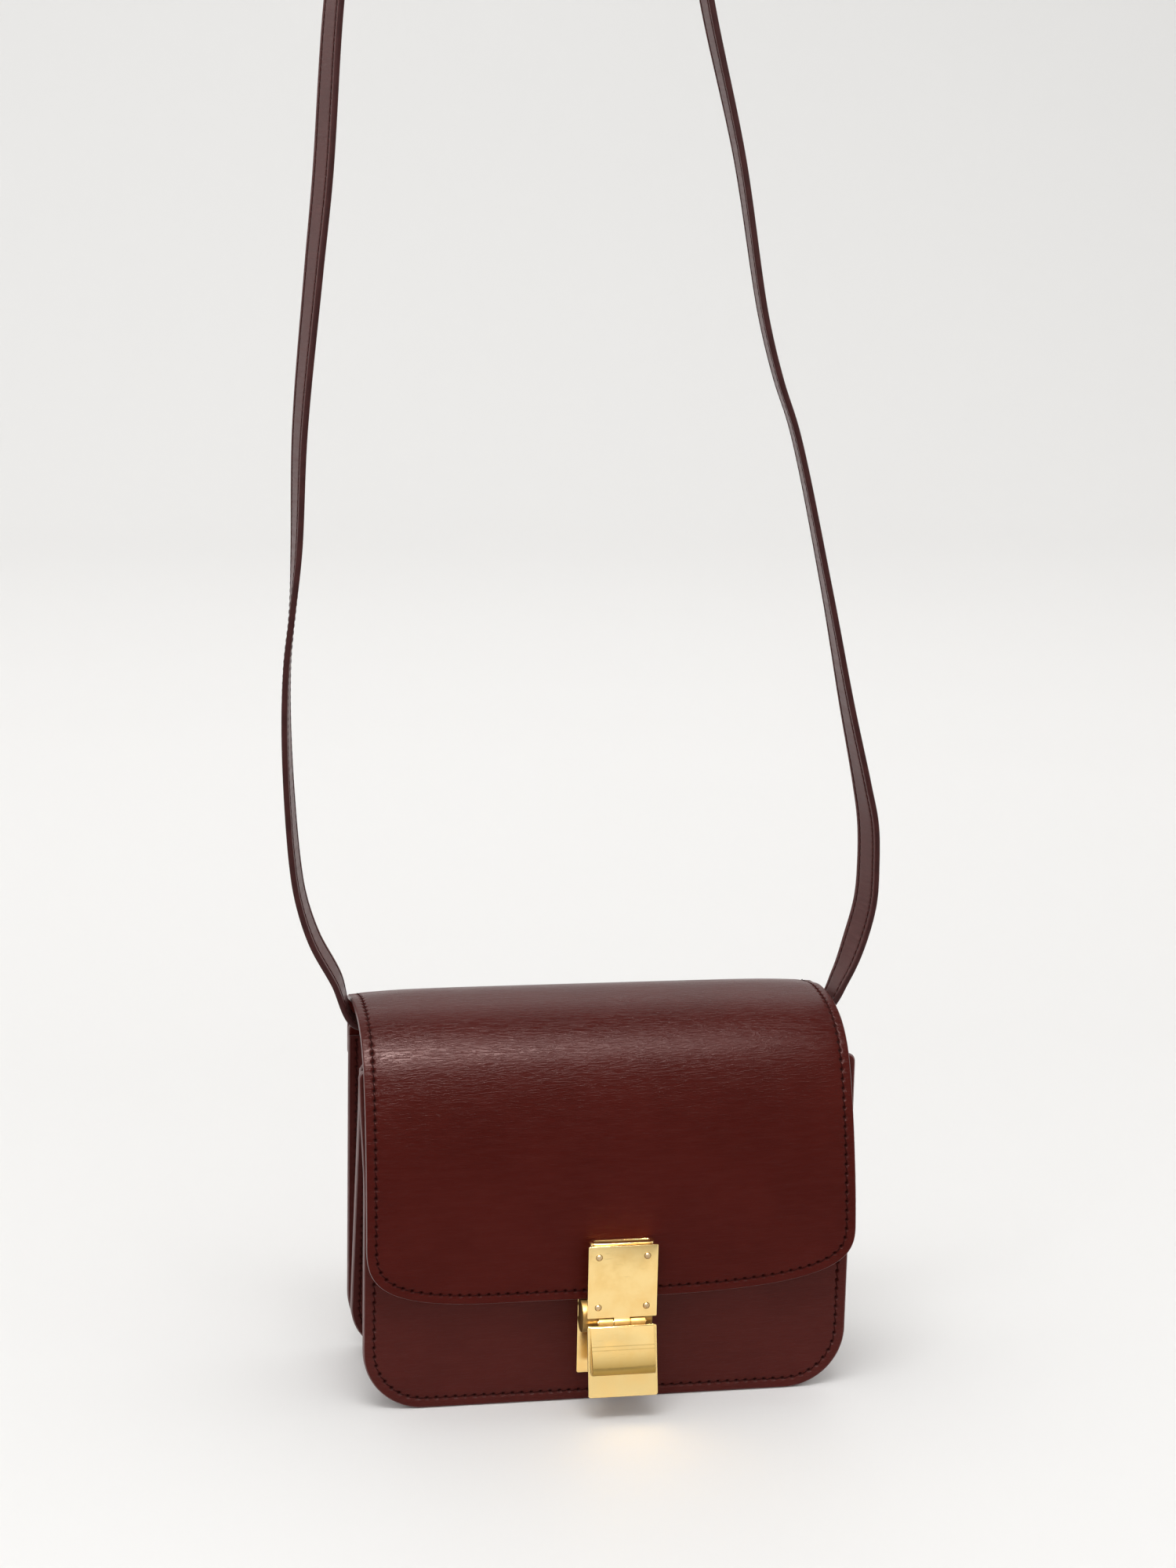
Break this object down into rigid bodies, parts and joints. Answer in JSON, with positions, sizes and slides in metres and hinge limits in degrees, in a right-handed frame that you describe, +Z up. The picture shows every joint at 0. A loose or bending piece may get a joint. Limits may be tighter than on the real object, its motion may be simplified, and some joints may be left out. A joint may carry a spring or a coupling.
{
  "type": "box bag",
  "caption": "Small structured shoulder bag with bellows sides, a curved flap, a hinged brass clasp and a thin stitched strap.",
  "frame": {"origin": "highest point of the strap loop's inner face, where the bag hangs", "axes": "+X to the right seen from the front, +Y from the clasp side to the back, +Z up the hanging bag"},
  "size_m": [0.2245, 0.0853, 0.6337],
  "materials": {
    "box_calf": "smooth burgundy box calf, semi-gloss",
    "gusset_calf": "smooth burgundy calf, thinner and softer",
    "strap_calf": "smooth burgundy calf with stitched edges",
    "pale_brass": "polished pale gold plating with fine scratches",
    "rivet_metal": "polished domed heads"
  },
  "bodies": {
    "bag": {"back_panel": "box_calf", "mid_panel": "box_calf", "front_panel": "box_calf", "back_gusset": "gusset_calf", "front_gusset": "gusset_calf", "flap": "box_calf", "strap": "strap_calf", "catch_base": "pale_brass", "clasp_body": "pale_brass", "flap_plate": "pale_brass", "hinge_pin": "pale_brass", "rivet_1": "rivet_metal", "rivet_2": "rivet_metal", "rivet_3": "rivet_metal", "rivet_4": "rivet_metal"},
    "lever": {"lever": "pale_brass"}
  },
  "joints": [
    {"name": "lever_hinge", "type": "hinge", "parent": "bag", "child": "lever", "pos_m": [0.0346, -0.06218, -0.5961], "axis": [-1, 0, 0], "range_deg": [0, 75]}
  ]
}
